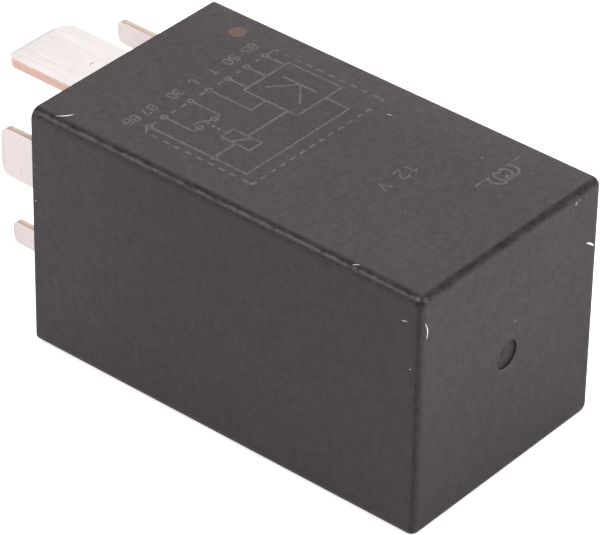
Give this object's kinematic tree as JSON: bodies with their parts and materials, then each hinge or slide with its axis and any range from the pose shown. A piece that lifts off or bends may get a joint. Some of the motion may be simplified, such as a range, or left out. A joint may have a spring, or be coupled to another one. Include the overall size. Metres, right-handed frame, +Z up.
{
  "type": "glow plug controller",
  "caption": "Plug-in relay box for a diesel engine's glow plugs: a moulded cover, a base with flat blade terminals, a relay with a hinged armature and a timer circuit board",
  "frame": {"origin": "middle of the surface that the box lies on, under the middle of its whole length with the blades", "axes": "X along the box from the blades to the closed end, Y across, Z up as it lies on its side"},
  "size_m": [0.0674, 0.0304, 0.0306],
  "materials": {
    "cover_plastic": "spark-eroded matt black moulding",
    "base_plastic": "matt black glass-filled moulding",
    "tinned_copper": "tin-plated copper alloy with bare cut edges",
    "relay_iron": "soft iron, zinc plated",
    "bobbin_plastic": "natural polyamide moulding",
    "enamelled_copper": "enamelled copper wire",
    "spring_bronze": "rolled spring bronze",
    "contact_silver": "silver contact alloy",
    "braid_copper": "braided fine copper strands",
    "board_laminate": "glass epoxy laminate with green lacquer",
    "chip_epoxy": "black moulded epoxy",
    "capacitor_sleeve": "shrunk plastic sleeve over an aluminium can",
    "film_lacquer": "dipped lacquer",
    "resistor_lacquer": "beige lacquer"
  },
  "bodies": {
    "housing": {"cover": "cover_plastic", "base": "base_plastic", "terminal_30": "tinned_copper", "terminal_87": "tinned_copper", "terminal_85": "tinned_copper", "terminal_86": "tinned_copper", "terminal_50": "tinned_copper", "terminal_l": "tinned_copper", "terminal_t": "tinned_copper", "yoke": "relay_iron", "core": "relay_iron", "bobbin": "bobbin_plastic", "coil_winding": "enamelled_copper", "coil_pin_1": "tinned_copper", "coil_pin_2": "tinned_copper", "fixed_contact": "contact_silver", "yoke_rivets": "relay_iron", "braid": "braid_copper", "circuit_board": "board_laminate", "timer_chip": "chip_epoxy", "driver_transistor": "chip_epoxy", "electrolytic_capacitor": "capacitor_sleeve", "film_capacitor": "film_lacquer", "resistor_1": "resistor_lacquer", "resistor_2": "resistor_lacquer", "resistor_3": "resistor_lacquer", "resistor_4": "resistor_lacquer", "resistor_5": "resistor_lacquer", "resistor_6": "resistor_lacquer", "diode_1": "chip_epoxy", "diode_2": "chip_epoxy", "diode_3": "chip_epoxy"},
    "switch_arm": {"armature": "relay_iron", "contact_spring": "spring_bronze", "moving_contact": "contact_silver", "armature_rivets": "relay_iron"}
  },
  "joints": [
    {"name": "armature_rock", "type": "hinge", "parent": "housing", "child": "switch_arm", "pos_m": [0.0105, -0.0015, 0.0247], "axis": [0, 1, 0], "range_deg": [0, 4.5], "stiffness_Nm_per_rad": 0.06, "springref_deg": -8.59, "deforming": ["contact_spring", "braid"]}
  ]
}
